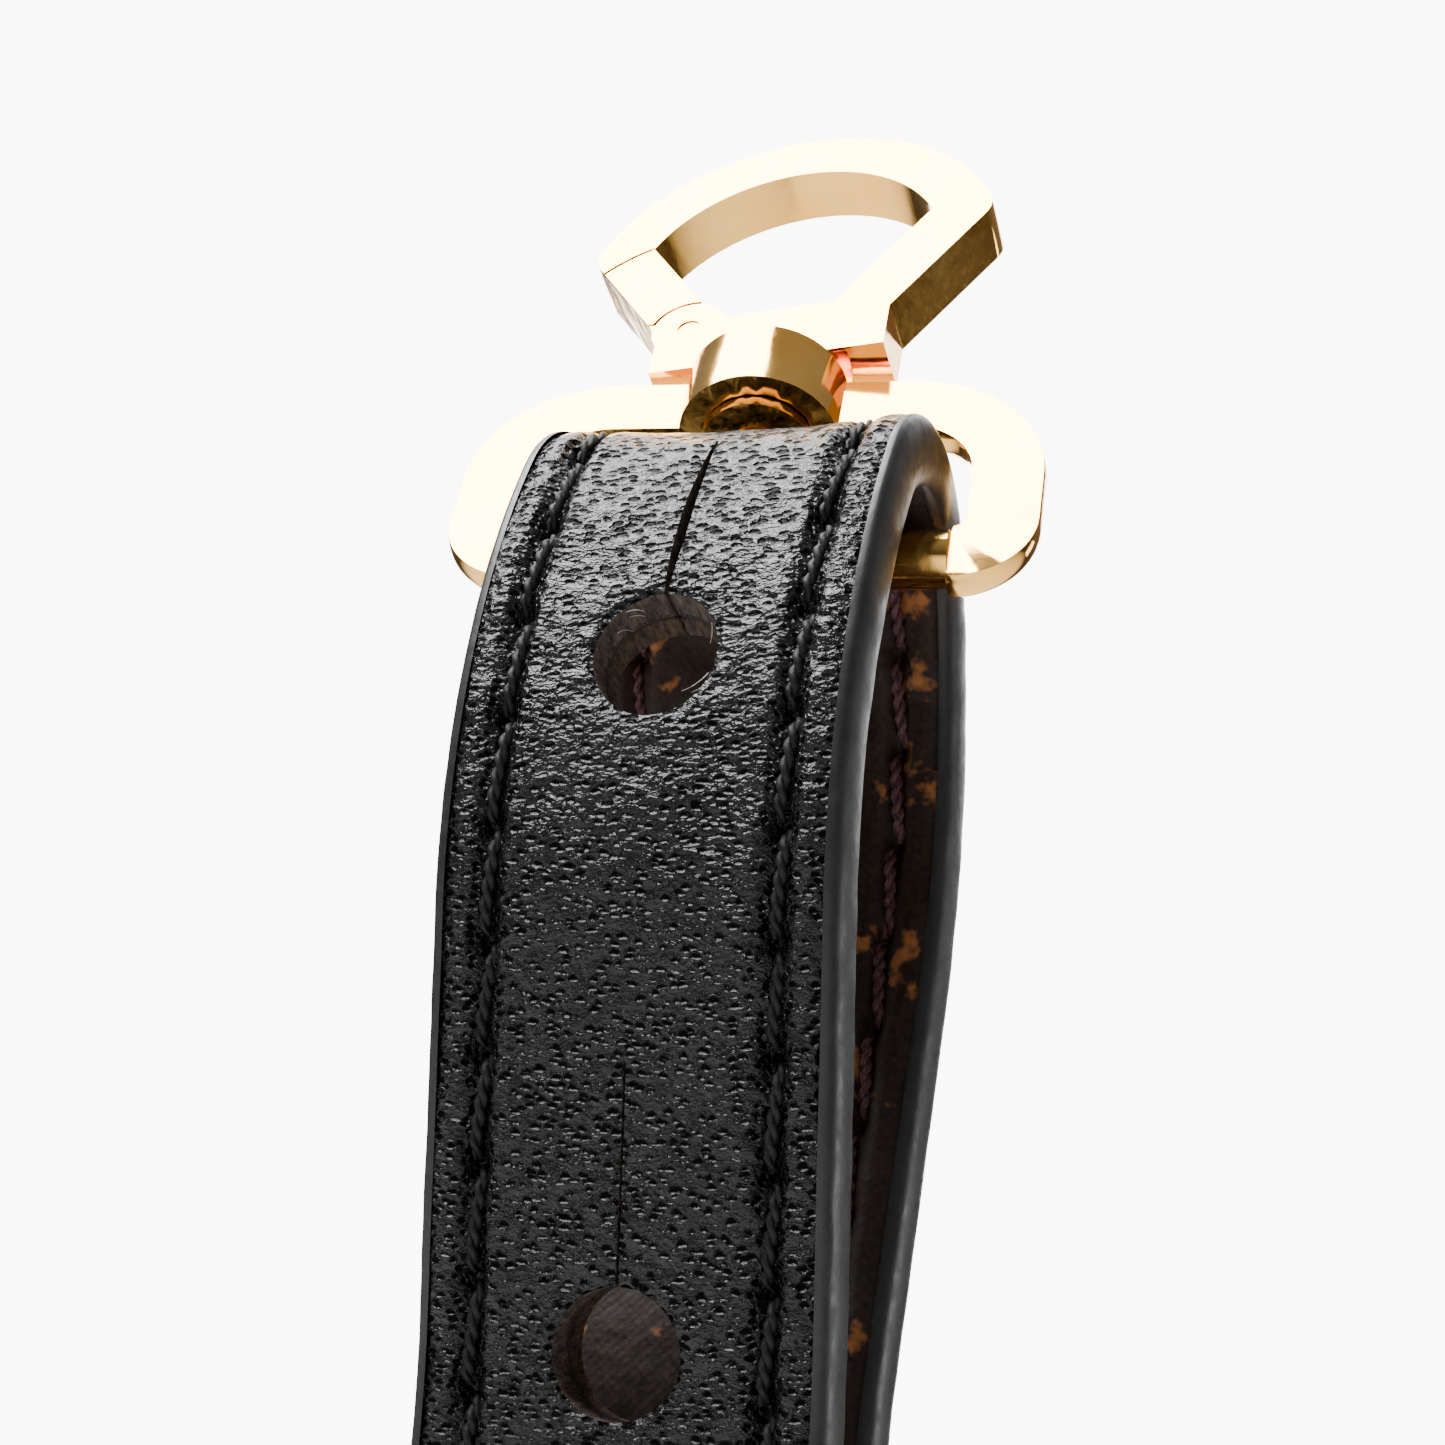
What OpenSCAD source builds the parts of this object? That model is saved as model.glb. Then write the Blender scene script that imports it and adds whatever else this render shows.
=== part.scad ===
// Wristlet keychain: a folded leather strap, a cast ring and a swivel snap hook.
// Millimetres. X runs across the strap, Y from front to back, Z up.
// The strap stands on the round bottom of its wrist loop.

/* [Strap] */
// Width of the strap
strap_w = 16; // [14:0.5:20]
// Thickness of the outer leather
leather_t = 1.4; // [1.2:0.1:1.6]
// Thickness of the stiffening core
core_t = 0.5; // [0.3:0.1:0.8]
// Thickness of the coated canvas lining
lining_t = 1.1; // [0.9:0.1:1.3]
// Thickness of the painted edge
paint_t = 0.35; // [0.2:0.05:0.5]

/* [Loop] */
// Inside radius of the tight fold
fold_in_r = 2.6; // [2.5:0.1:3]
// Turn of the tight fold, each side, in degrees
fold_turn = 59; // [55:1:62]
// Centreline radius of the shoulder below the fold
shoulder_r = 25; // [22:0.5:28]
// How far each leg leans in below the shoulder, in degrees
lean_in = 12; // [11:1:14]
// Centreline radius of the outward bend at the waist
waist_r = 30; // [24:1:36]
// Clear gap between the two legs at the waist
waist_gap = 2.4; // [2:0.1:3]
// How far each leg leans out below the waist, in degrees
lean_out = 14; // [13:1:16]
// Centreline radius of the wrist loop's round bottom
bottom_r = 18; // [16:1:22]
// Length of the tail from the top of the fold to its tip
tail_len = 77; // [74:1:82]
// Distance from the top of the fold to the inner end of the strap
inner_end = 53; // [51:1:56]
// Air between the tail and the inner end below it
lap_gap = 0.15; // [0.1:0.05:0.3]

/* [Stud holes] */
// Diameter of a stud hole
hole_d = 4.9; // [4.4:0.1:5.4]
// Distance of the first hole from the top of the fold
hole_first = 13.7; // [12.5:0.1:14.5]
// Distance from one stud hole to the next
hole_pitch = 25.3; // [24:0.1:26]
// Length of the slit above a hole
slit_len = 8; // [6:0.5:10]
// Width of the slit
slit_w = 0.3; // [0.2:0.05:0.5]

/* [Stitching] */
// Distance of a stitch row from the strap's edge
stitch_inset = 2.35; // [2:0.05:2.8]
// Distance from one stitch to the next
stitch_pitch = 4.1; // [3.5:0.1:5]
// Thickness of the thread
thread_d = 0.55; // [0.4:0.05:0.7]

/* [Stud] */
// Radius of the stud's ball head
stud_head_r = 3; // [2.8:0.1:3.4]
// Radius of the stud's neck
stud_neck_r = 2.1; // [1.9:0.1:2.2]

/* [Ring] */
// Radius of the ring's bar inside the fold
bar_r = 1.2; // [1:0.1:1.2]
// Height of the bar above the centre of the fold
bar_lift = 0.4; // [-0.4:0.1:0.4]
// Distance between the bar and the far arm, centre to centre
ring_len = 9.3; // [9.2:0.1:11]
// Room between the strap's edge and the ring's side
ring_side_gap = 1.25; // [1.15:0.05:1.4]
// Thickness of the ring's sides and arm
ring_t = 3.1; // [2.9:0.1:3.2]
// Height of the ring's flat face above its middle
ring_flat = 0.5; // [0.5:0.1:1.2]
// Angle of the ring above level, in degrees
ring_tilt = 64; // [50:1:70]
// Skew of the ring's bar in the fold, in degrees
ring_slew = 8; // [0:1:8]
// Roll of the ring's bar in the fold, in degrees
ring_roll = -1.5; // [-1.5:0.5:1.5]
// Sideways place of the ring on the strap
ring_side = -0.3; // [-0.3:0.1:0.3]
// Radius of the swivel eye on the arm
eye_r = 3.45; // [3.2:0.05:3.5]
// Length of the swivel eye
eye_len = 3.4; // [3.4:0.1:3.6]

/* [Hook] */
// Turn of the hook about its swivel, in degrees
hook_turn = 8; // [0:1:20]
// Length of the hook
hook_len = 16.2; // [16:0.1:18]
// Width of the hook's base
hook_base_w = 10.6; // [10:0.1:10.6]
// Thickness of the hook plate
hook_t = 2.5; // [2.5:0.1:3.4]
// Width of the hook's arms
hook_arm = 2.6; // [2.4:0.1:2.8]
// Radius of the gate pin
pin_r = 0.5; // [0.4:0.05:0.55]
// Radius of the swivel rivet's stem
stem_r = 0.9; // [0.8:0.05:0.95]

/* [Hidden] */
$fn = 64;

// Strap section, measured outwards from its middle surface
strap_t = leather_t + core_t + lining_t;
face_o = strap_t / 2;
core_top = face_o - leather_t;
lining_top = core_top - core_t;
back_o = -strap_t / 2;
layer_w = strap_w - 2 * paint_t;
groove_w = thread_d + 0.2;
groove_d = 0.36;
stitch_x = strap_w / 2 - stitch_inset;
stud_s = hole_first + 2 * hole_pitch;

// Strap route: one leg from the top of the fold, as [length, turn] pieces
fold_r = fold_in_r + strap_t / 2;
shoulder_turn = 90 + lean_in - fold_turn;
waist_turn = lean_in + lean_out;
waist_y = (waist_gap + strap_t) / 2;
widest_y = fold_r * sin(fold_turn) + shoulder_r * (1 - sin(fold_turn));
lean_y = widest_y - shoulder_r * (1 - cos(lean_in));
lean_len = (lean_y - waist_y - waist_r * (1 - cos(lean_in))) / sin(lean_in);
upper_leg = [
    [arc_len(fold_r, fold_turn), fold_turn],
    [arc_len(shoulder_r, shoulder_turn), shoulder_turn],
    [lean_len, 0],
    [arc_len(waist_r, waist_turn), -waist_turn]
];
upper_len = sum_len(upper_leg);
upper_end = walk(upper_leg, upper_len);

// The legs' lower lines, carried up, meet above the waist; the inner end lies inside the tail
lap_o = strap_t + lap_gap;
meet_len = upper_end[0] / sin(lean_out);
loop_start = lap_o / sin(2 * lean_out);
tangent_len = bottom_r / tan(lean_out);
axis_y = loop_start * sin(lean_out);
inner_len = meet_len + inner_end - upper_len - loop_start * cos(2 * lean_out);
back_leg = concat(upper_leg, [
    [loop_start + tangent_len - meet_len, 0],
    [arc_len(bottom_r, 180 + 2 * lean_out), 180 + 2 * lean_out],
    [tangent_len - inner_len, 0]
]);
front_leg = concat(upper_leg, [[tail_len - upper_len, 0]]);
back_len = sum_len(back_leg);
meet_z = upper_end[1] + meet_len * cos(lean_out);
bottom_z = meet_z - loop_start * cos(lean_out) - bottom_r / sin(lean_out) - bottom_r - strap_t / 2;
grid = concat(
    [for (i = [len(leg_grid(front_leg)) - 1 : -1 : 0]) -leg_grid(front_leg)[i]],
    [0],
    leg_grid(back_leg)
);

// Ring and hook places, in the ring's own frame: Y runs from the bar to the hook
bar_z = bar_lift - fold_r;
centre_x = 0.6;
ring_half = strap_w / 2 + ring_side_gap + ring_t / 2;
ring_bend = 2;
arm_bend = 4.5;
eye_near = ring_len - eye_len / 2;
eye_far = ring_len + eye_len / 2;
washer_t = 0.4;
hook_at = eye_far + washer_t + 0.2;
stem_in_hook = 2.6;
head_r = 2.4;
head_t = 0.9;

// Hook plate outline
base_half = hook_base_w / 2;
shoulder_v = 2.6;
corner_r = 1.5;
corner_u = 7.8;
corner_v = 9.2;
crown = hook_len - corner_r;
crown_v = (crown * crown - corner_v * corner_v - corner_u * corner_u) / (2 * (crown - corner_v));
crown_r = hook_len - crown_v;
crown_a = atan2(corner_v - crown_v, corner_u);
side_a = atan2(corner_v - shoulder_v, corner_u - base_half) - asin(corner_r /
    norm([corner_u - base_half, corner_v - shoulder_v]));
opening_v = 3.4;
gate_u = -3.9;
gate_v = 2.9;
knuckle_r = 1.7;
tongue_hi = 0.05;
slot_half = hook_t / 2 - 0.53;
tongue_lo = 0.07 - slot_half;
gate_gap = 0.15;

// Inside line of the arms, and the corner where it meets the crown's inner arc
side_dir = [cos(side_a), sin(side_a)];
side_in = [base_half, shoulder_v] + hook_arm * [-sin(side_a), cos(side_a)];
crown_in = crown_r - hook_arm;
side_rel = side_in - [0, crown_v];
side_along = side_rel * side_dir;
arm_corner = on_side(sqrt(side_along * side_along - side_rel * side_rel + crown_in * crown_in) - side_along);
gate_reach = norm([-arm_corner[0], arm_corner[1]] - [gate_u, gate_v]) + gate_gap - 0.03;

// ---- Functions ----

function arc_len(r, turn) = r * turn * PI / 180;
function sum_len(legs, i = 0) = i == len(legs) ? 0 : legs[i][0] + sum_len(legs, i + 1);

// One piece of the route: a state is [y, z, heading], heading 0 along +Y and 90 straight down
function step(p, s, turn) = turn == 0
    ? [p[0] + s * cos(p[2]), p[1] - s * sin(p[2]), p[2]]
    : let (r = s * 180 / (turn * PI))
        [p[0] + r * (sin(p[2] + turn) - sin(p[2])), p[1] + r * (cos(p[2] + turn) - cos(p[2])), p[2] + turn];

function walk(legs, s, i = 0, p = [0, 0, 0]) =
    i == len(legs) - 1 || s <= legs[i][0]
    ? step(p, s, legs[i][1] * s / legs[i][0])
    : walk(legs, s - legs[i][0], i + 1, step(p, legs[i][0], legs[i][1]));

// Length along the strap of every point that the outline needs
function leg_grid(legs, i = 0, at = 0) = i == len(legs) ? [] : concat(
    let (n = max(1, ceil(abs(legs[i][1]) / 5))) [for (k = [1:n]) at + legs[i][0] * k / n],
    leg_grid(legs, i + 1, at + legs[i][0])
);

// Strap state at length s from the top of the fold: back leg positive, tail negative
function strap_at(s) = s >= 0 ? walk(back_leg, s) : let (p = walk(front_leg, -s)) [-p[0], p[1], -p[2]];
function strap_point(s, o) = let (p = strap_at(s)) [p[0] + o * sin(p[2]), p[1] + o * cos(p[2])];

function arc_points(c, r, a, b, n) = [for (i = [0:n]) let (t = a + (b - a) * i / n) c + r * [cos(t), sin(t)]];
function on_side(t) = side_in + t * side_dir;
function flip(points) = [for (i = [len(points) - 1 : -1 : 0]) [-points[i][0], points[i][1]]];

// ---- Strap ----

// A slab of the strap from length s0 to s1, between offsets o0 and o1, across x0 to x1
module slab(s0, s1, o0, o1, x0, x1) {
    along = concat([s0], [for (s = grid) if (s > s0 + 0.01 && s < s1 - 0.01) s], [s1]);
    outline = concat(
        [for (s = along) strap_point(s, o1)],
        [for (i = [len(along) - 1 : -1 : 0]) strap_point(along[i], o0)]
    );
    translate([x0, 0, 0]) rotate([90, 0, 90]) linear_extrude(x1 - x0) polygon(outline);
}

// Puts its children on the strap's middle surface, Z outwards and Y towards the fold on the tail
module on_strap(s) {
    p = strap_at(s);
    translate([0, p[0], p[1]]) rotate([-p[2], 0, 0]) children();
}

module layer(o0, o1) {
    difference() {
        slab(-tail_len, back_len, o0, o1, -layer_w / 2, layer_w / 2);
        for (i = [0:2]) {
            hole_s = hole_first + i * hole_pitch;
            on_strap(-hole_s) cylinder(d = hole_d, h = strap_t + 2, center = true);
            on_strap(-(hole_s - (hole_d + slit_len) / 2))
                cube([slit_w, slit_len + 1, strap_t + 2], center = true);
        }
        on_strap(-stud_s) translate([0, 0, -lap_o]) cylinder(r = 1.55, h = strap_t + 0.1, center = true);
    }
}

module grooves(o) {
    for (side = [-1, 1])
        slab(-tail_len + 2, back_len - 2, o - groove_d, o + groove_d,
            side * stitch_x - groove_w / 2, side * stitch_x + groove_w / 2);
}

module stitches(side, o0) {
    count = floor((tail_len + back_len - 8) / stitch_pitch);
    for (i = [0 : count - 1]) {
        start = -tail_len + 4 + i * stitch_pitch;
        slab(start, start + stitch_pitch * 0.8, o0, o0 + 0.28,
            side * stitch_x - thread_d / 2, side * stitch_x + thread_d / 2);
    }
}

module strap_leather() {
    color([0.06, 0.06, 0.065]) difference() {
        layer(core_top, face_o);
        grooves(face_o);
    }
}

module strap_core() {
    color([0.35, 0.27, 0.2]) layer(lining_top, core_top);
}

module strap_lining() {
    color([0.2, 0.12, 0.07]) difference() {
        layer(back_o, lining_top);
        grooves(back_o);
    }
}

module edge_paint(side) {
    inner = side * layer_w / 2;
    outer = side * strap_w / 2;
    color([0.03, 0.03, 0.03])
        slab(-tail_len, back_len, back_o, face_o, min(inner, outer), max(inner, outer));
}

module face_stitching(side) {
    color([0.1, 0.1, 0.1]) stitches(side, face_o - 0.33);
}

module lining_stitching(side) {
    color([0.25, 0.12, 0.12]) stitches(side, back_o + 0.05);
}

// ---- Closure stud ----

module closure_stud() {
    ball_z = face_o + 0.3 + stud_head_r * 0.75;
    base_z = -lap_o + face_o;
    color([0.85, 0.66, 0.3]) on_strap(-stud_s) difference() {
        union() {
            intersection() {
                translate([0, 0, ball_z]) sphere(r = stud_head_r);
                translate([0, 0, face_o + 0.3]) cylinder(r = stud_head_r + 1, h = 2 * stud_head_r);
            }
            translate([0, 0, base_z]) cylinder(r = stud_neck_r, h = ball_z - base_z);
            translate([0, 0, -lap_o + back_o]) cylinder(r = 1.5, h = strap_t + 1);
        }
        translate([0, 0, -lap_o + back_o - 1]) cylinder(r = 0.9, h = strap_t + 2.5);
    }
}

module stud_screw() {
    color([0.8, 0.62, 0.28]) on_strap(-stud_s) translate([0, 0, -lap_o + back_o]) difference() {
        union() {
            translate([0, 0, -0.85]) cylinder(r = 3.1, h = 0.8);
            translate([0, 0, -0.1]) cylinder(r = 0.88, h = strap_t + 1);
        }
        translate([-4, -0.3, -1.2]) cube([8, 0.6, 0.8]);
    }
}

// ---- Ring ----

module in_ring() {
    translate([ring_side, 0, bar_z]) rotate([0, ring_roll, ring_slew]) rotate([ring_tilt, 0, 0]) children();
}

// Section of the ring's sides: round with one flat face
module ring_section() {
    difference() {
        circle(d = ring_t);
        translate([-ring_t, ring_flat]) square(2 * ring_t);
    }
}

// A straight piece of the ring along +Y, its flat face towards +Z
module ring_straight(length) {
    rotate([90, 0, 0]) translate([0, 0, -length]) linear_extrude(length) ring_section();
}

module ring_corner(r) {
    rotate_extrude(angle = 90) translate([r, 0]) ring_section();
}

module strap_ring() {
    straight = ring_half - ring_bend;
    color([0.87, 0.68, 0.32]) in_ring() difference() {
        union() {
            translate([-straight, 0, 0]) rotate([0, 90, 0]) cylinder(r = bar_r, h = 2 * straight);
            translate([arm_bend - ring_half, ring_len, 0]) rotate([0, 0, -90])
                ring_straight(2 * (ring_half - arm_bend));
            for (side = [0, 1]) mirror([side, 0, 0]) {
                translate([ring_half, ring_bend, 0]) ring_straight(ring_len - ring_bend - arm_bend);
                translate([straight, ring_bend, 0]) rotate([0, 0, -90]) ring_corner(ring_bend);
                translate([ring_half - arm_bend, ring_len - arm_bend, 0]) ring_corner(arm_bend);
            }
            translate([0, eye_far, 0]) rotate([90, 0, 0]) cylinder(r = eye_r, h = eye_len);
        }
        translate([0, eye_far + 1, 0]) rotate([90, 0, 0]) cylinder(r = stem_r + 0.08, h = eye_len + 2);
    }
}

// ---- Hook ----

// The hook's own frame: X across the plate, Y away from the ring, Z through the plate
module in_hook() {
    in_ring() translate([0, hook_at, 0]) rotate([0, -hook_turn, 0]) children();
}

module swivel_rivet() {
    color([0.87, 0.68, 0.32]) in_hook() {
        translate([0, stem_in_hook - 0.05, 0]) rotate([90, 0, 0])
            cylinder(r = stem_r, h = stem_in_hook + hook_at - eye_near + 0.1);
        translate([0, eye_near - hook_at - 0.1, 0]) rotate([90, 0, 0]) {
            cylinder(r = head_r, h = head_t * 0.5);
            cylinder(r = head_r * 0.5, h = head_t);
        }
    }
}

module swivel_washer() {
    color([0.8, 0.62, 0.28]) in_hook() translate([0, -0.1, 0]) rotate([90, 0, 0]) difference() {
        cylinder(r = 2.6, h = washer_t);
        translate([0, 0, -1]) cylinder(r = stem_r + 0.05, h = washer_t + 2);
    }
}

module plate_outline() {
    half = concat(
        [[base_half, 0], [base_half, shoulder_v]],
        arc_points([corner_u, corner_v], corner_r, side_a - 90, crown_a, 8),
        arc_points([0, crown_v], crown_r, crown_a, 90, 16)
    );
    polygon(concat(half, flip(half)));
}

module opening() {
    low = on_side((opening_v - side_in[1]) / side_dir[1]);
    corner_a = atan2(arm_corner[1] - crown_v, arm_corner[0]);
    half = concat([low], arc_points([0, crown_v], crown_in, corner_a, 90, 12));
    polygon(concat(half, flip(half)));
}

// The left arm between the knuckle and the hook's nose
module gate_arm(reach, knuckle, low) {
    foot = on_side((low - side_in[1]) / side_dir[1]);
    head = on_side(14);
    difference() {
        intersection() {
            difference() {
                plate_outline();
                opening();
            }
            translate([gate_u, gate_v]) circle(r = reach);
            polygon([
                [-foot[0], foot[1]], [-head[0], head[1]], [-20, head[1]], [-20, foot[1]]
            ]);
        }
        translate([gate_u, gate_v]) circle(r = knuckle);
    }
}

module hook_body() {
    color([0.87, 0.68, 0.32]) in_hook() difference() {
        union() {
            translate([0, 0, -hook_t / 2]) linear_extrude(hook_t) difference() {
                plate_outline();
                opening();
                gate_arm(gate_reach, 0.01, opening_v);
            }
            translate([gate_u, gate_v, -hook_t / 2]) cylinder(r = knuckle_r, h = hook_t);
        }
        translate([0, 0, -slot_half]) linear_extrude(2 * slot_half) {
            translate([gate_u, gate_v]) circle(r = knuckle_r + gate_gap);
            translate([gate_u, gate_v]) polygon([[0, 0], [-8, 6], [-8, -0.9], [0, -1.85]]);
        }
        translate([gate_u, gate_v, -hook_t]) cylinder(r = pin_r + 0.01, h = 2 * hook_t);
        translate([0, stem_in_hook, 0]) rotate([90, 0, 0]) cylinder(r = stem_r + 0.01, h = stem_in_hook + 1);
    }
}

module gate() {
    color([0.9, 0.7, 0.34]) in_hook() difference() {
        union() {
            translate([0, 0, -hook_t / 2]) linear_extrude(hook_t)
                gate_arm(gate_reach - gate_gap, knuckle_r + gate_gap, opening_v + gate_gap);
            translate([gate_u, gate_v, tongue_lo]) cylinder(r = knuckle_r - 0.1, h = tongue_hi - tongue_lo);
            translate([gate_u, gate_v, tongue_lo]) linear_extrude(tongue_hi - tongue_lo)
                polygon([[0, 0.4], [0.8, 1.2], [-0.5, 3], [-3, 3.4], [-1.5, 0.5]]);
        }
        translate([gate_u, gate_v, -hook_t]) cylinder(r = pin_r + 0.06, h = 2 * hook_t);
    }
}

module gate_pin() {
    color([0.75, 0.58, 0.26]) in_hook()
        translate([gate_u, gate_v, -hook_t / 2 + 0.05]) cylinder(r = pin_r, h = hook_t - 0.1);
}

module gate_spring() {
    wire = 0.3;
    coil_r = 0.9;
    color([0.7, 0.7, 0.7]) in_hook() translate([gate_u, gate_v, 0]) {
        for (i = [0:1]) translate([0, 0, 0.27 + i * 0.26])
            rotate_extrude() translate([coil_r, 0]) circle(d = wire, $fn = 24);
        translate([0, -coil_r, 0.27]) rotate([0, 90, 0]) cylinder(d = wire, h = 1.4, $fn = 24);
    }
}

module stand() {
    translate([centre_x, -axis_y, -bottom_z]) children();
}

stand() strap_leather();
stand() strap_core();
stand() strap_lining();
stand() edge_paint(-1);  // edge_paint_left
stand() edge_paint(1);  // edge_paint_right
stand() face_stitching(-1);  // face_stitching_left
stand() face_stitching(1);  // face_stitching_right
stand() lining_stitching(-1);  // lining_stitching_left
stand() lining_stitching(1);  // lining_stitching_right
stand() closure_stud();
stand() stud_screw();
stand() strap_ring();
stand() swivel_rivet();
stand() swivel_washer();
stand() hook_body();
stand() gate();
stand() gate_pin();
stand() gate_spring();
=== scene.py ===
import math

import bpy
import numpy as np
from mathutils import Matrix, Vector


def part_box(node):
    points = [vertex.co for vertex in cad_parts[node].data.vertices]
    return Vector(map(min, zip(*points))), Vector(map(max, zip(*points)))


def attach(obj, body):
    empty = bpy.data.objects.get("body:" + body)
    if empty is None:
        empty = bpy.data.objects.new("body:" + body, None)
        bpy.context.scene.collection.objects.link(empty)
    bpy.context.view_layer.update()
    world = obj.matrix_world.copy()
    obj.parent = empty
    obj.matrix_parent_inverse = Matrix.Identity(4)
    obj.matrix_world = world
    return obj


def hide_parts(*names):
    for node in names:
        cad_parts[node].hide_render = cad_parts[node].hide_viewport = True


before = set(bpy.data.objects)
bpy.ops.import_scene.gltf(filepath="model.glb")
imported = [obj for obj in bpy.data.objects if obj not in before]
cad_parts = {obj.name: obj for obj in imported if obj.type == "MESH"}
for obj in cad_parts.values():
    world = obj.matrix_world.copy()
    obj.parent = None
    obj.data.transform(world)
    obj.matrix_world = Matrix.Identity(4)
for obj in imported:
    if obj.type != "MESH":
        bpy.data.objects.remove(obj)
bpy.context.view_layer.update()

# The looks of a leather wristlet keychain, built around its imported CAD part.
# Lengths are in millimetres and become metres where a mesh is made.

MM = 0.001

# ---- Strap sizes, as in the CAD source ----

paint_lo, paint_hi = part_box("edge_paint_right")
STRAP_W = (paint_hi.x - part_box("edge_paint_left")[0].x) / MM
PAINT_T = (paint_hi.x - paint_lo.x) / MM
CENTRE_X = paint_hi.x / MM - STRAP_W / 2
TOP_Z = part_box("strap_leather")[1].z / MM
LEATHER_T = 1.4
CORE_T = 0.5
LINING_T = 1.1
STRAP_T = LEATHER_T + CORE_T + LINING_T
FOLD_R = 2.6 + STRAP_T / 2
FOLD_TURN = 59
SHOULDER_R = 25
LEAN_IN = 12
WAIST_R = 30
WAIST_GAP = 2.4
LEAN_OUT = 14
BOTTOM_R = 18
TAIL_LEN = 77
INNER_END = 53
LAP_GAP = 0.15
HOLE_R = 2.45
HOLE_FIRST = 13.7
HOLE_PITCH = 25.3
SLIT_LEN = 8
STITCH_X = STRAP_W / 2 - 2.35
STITCH_PITCH = 4.1
FIRST_STITCH = -TAIL_LEN + 4 - 0.1 * STITCH_PITCH
LAYER_X = STRAP_W / 2 - PAINT_T
FACE_O = STRAP_T / 2

# ---- Route of the strap ----


def sine(degrees):
    return math.sin(math.radians(degrees))


def cosine(degrees):
    return math.cos(math.radians(degrees))


def arc(radius, turn):
    """A round stretch of the route, as its length and its turn."""
    return [radius * math.radians(turn), turn]


def walk(legs, s):
    """Place and heading at length s along a leg that starts level at the top of the fold."""
    y, z, heading = 0.0, 0.0, 0.0
    for number, (length, turn) in enumerate(legs):
        part = s if number == len(legs) - 1 else min(s, length)
        if turn == 0:
            y += part * cosine(heading)
            z -= part * sine(heading)
        else:
            radius = length / math.radians(turn)
            after = heading + turn * part / length
            y += radius * (sine(after) - sine(heading))
            z += radius * (cosine(after) - cosine(heading))
            heading = after
        s -= part
        if s <= 0:
            break
    return y, z, heading


def route():
    """The two legs of the strap, from the top of the fold to the tail's tip and to the inner end."""
    waist_y = (WAIST_GAP + STRAP_T) / 2
    widest_y = FOLD_R * sine(FOLD_TURN) + SHOULDER_R * (1 - sine(FOLD_TURN))
    lean_y = widest_y - SHOULDER_R * (1 - cosine(LEAN_IN))
    lean_len = (lean_y - waist_y - WAIST_R * (1 - cosine(LEAN_IN))) / sine(LEAN_IN)
    waist = arc(WAIST_R, LEAN_IN + LEAN_OUT)
    upper = [
        arc(FOLD_R, FOLD_TURN),
        arc(SHOULDER_R, 90 + LEAN_IN - FOLD_TURN),
        [lean_len, 0],
        [waist[0], -waist[1]],
    ]
    upper_len = sum(leg[0] for leg in upper)
    meet_len = walk(upper, upper_len)[0] / sine(LEAN_OUT)
    loop_start = (STRAP_T + LAP_GAP) / sine(2 * LEAN_OUT)
    tangent = BOTTOM_R / math.tan(math.radians(LEAN_OUT))
    inner = meet_len + INNER_END - upper_len - loop_start * cosine(2 * LEAN_OUT)
    back = upper + [
        [loop_start + tangent - meet_len, 0],
        arc(BOTTOM_R, 180 + 2 * LEAN_OUT),
        [tangent - inner, 0],
    ]
    front = upper + [[TAIL_LEN - upper_len, 0]]
    return front, back, loop_start * sine(LEAN_OUT)


FRONT_LEG, BACK_LEG, AXIS_Y = route()
BACK_LEN = sum(leg[0] for leg in BACK_LEG)
ROUTE_S = np.arange(-TAIL_LEN - 2, BACK_LEN + 2, 0.1)
ROUTE = np.array([
    walk(BACK_LEG, s) if s >= 0 else np.multiply(walk(FRONT_LEG, -s), (-1, 1, -1))
    for s in ROUTE_S
])


SADDLE_RISE = 0.42
SADDLE_X = 8
SADDLE_REACH = 8.5


def saddle(s, x):
    """How far the strap's margins curl outwards over the tight fold."""
    return SADDLE_RISE * (x / SADDLE_X) ** 2 * np.exp(-((s / SADDLE_REACH) ** 2))


def place(s, x, o):
    """Points in metres: s along the strap, x across it, o outwards from its middle surface."""
    y, z, heading = (np.interp(s, ROUTE_S, ROUTE[:, k]) for k in range(3))
    heading = np.radians(heading)
    out = o + saddle(s, x)
    points = np.stack([
        CENTRE_X + x,
        y + out * np.sin(heading) - AXIS_Y,
        z + out * np.cos(heading) + TOP_Z - FACE_O,
    ], axis=-1)
    return points * MM


# ---- Small tools ----


def waves(a, b, length, seed, count=7):
    """Smooth seeded unevenness of about unit size over the plane of a and b."""
    rng = np.random.default_rng(seed)
    total = 0
    for _ in range(count):
        angle = rng.uniform(0, 2 * math.pi)
        rate = 2 * math.pi / length * rng.uniform(0.6, 1.5)
        total = total + np.sin(rate * (a * math.cos(angle) + b * math.sin(angle)) + rng.uniform(0, 7))
    return total / math.sqrt(count / 2)


def add_mesh(name, points, faces, lay, materials, face_material=None):
    """A smooth mesh on the strap, with each point's place on the strap kept as the attribute lay."""
    mesh = bpy.data.meshes.new(name)
    mesh.from_pydata(points.reshape(-1, 3).tolist(), [], faces)
    mesh.polygons.foreach_set("use_smooth", [True] * len(faces))
    if face_material is not None:
        mesh.polygons.foreach_set("material_index", face_material)
    attribute = mesh.attributes.new("lay", "FLOAT_VECTOR", "POINT")
    attribute.data.foreach_set("vector", (lay.reshape(-1, 3) * MM).astype(np.float32).ravel())
    for material in materials:
        mesh.materials.append(material)
    mesh.update()
    piece = bpy.data.objects.new(name, mesh)
    bpy.context.collection.objects.link(piece)
    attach(piece, "strap")
    return piece


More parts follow.
